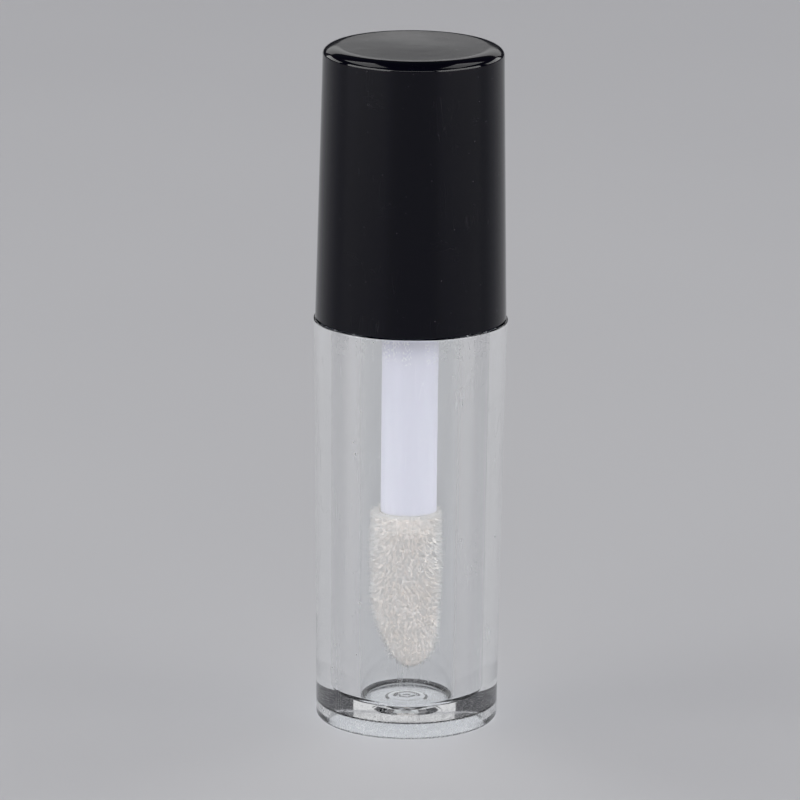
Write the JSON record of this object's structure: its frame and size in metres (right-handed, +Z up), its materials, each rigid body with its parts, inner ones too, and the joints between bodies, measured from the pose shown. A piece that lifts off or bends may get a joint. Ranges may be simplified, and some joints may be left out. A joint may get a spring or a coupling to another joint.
{
  "type": "lip gloss tube",
  "caption": "Small round lip gloss tube: thick clear bottle with a threaded neck and wiper, and a tapered black screw cap with a wand and a flocked doe-foot tip.",
  "frame": {"origin": "middle of the base, on the plane the tube stands on", "axes": "+Z up along the tube's axis, from the base to the cap's top; -Y is the side the camera saw"},
  "size_m": [0.0136, 0.0134, 0.048],
  "materials": {
    "clear_san": "clear, polished, with light handling scratches",
    "natural_ldpe": "natural, milky, satin",
    "black_gloss": "high gloss",
    "black_pp": "satin, as moulded",
    "white_pp": "semi-gloss, slightly translucent",
    "tip_elastomer": "matt",
    "nylon_flock": "short dense flock, off-white"
  },
  "bodies": {
    "bottle": {"bottle": "clear_san", "wiper": "natural_ldpe"},
    "wand": {"wand_stem": "white_pp"},
    "cap": {"cap_shell": "black_gloss", "cap_liner": "black_pp", "doe_foot_core": "tip_elastomer", "flock_coat": "nylon_flock"}
  },
  "joints": [
    {"name": "cap_rise", "type": "slide", "parent": "bottle", "child": "wand", "axis": [0, 0, 1], "range_m": [0, 0.036], "deforming": ["wiper"]},
    {"name": "cap_twist", "type": "hinge", "parent": "wand", "child": "cap", "pos_m": [0, 0, 0.0289], "axis": [0, 0, 1], "range_deg": [0, 3240]}
  ],
  "couplings": [
    {"joint": "cap_twist", "follows": "cap_rise", "rad_per_m": 1570.8}
  ]
}
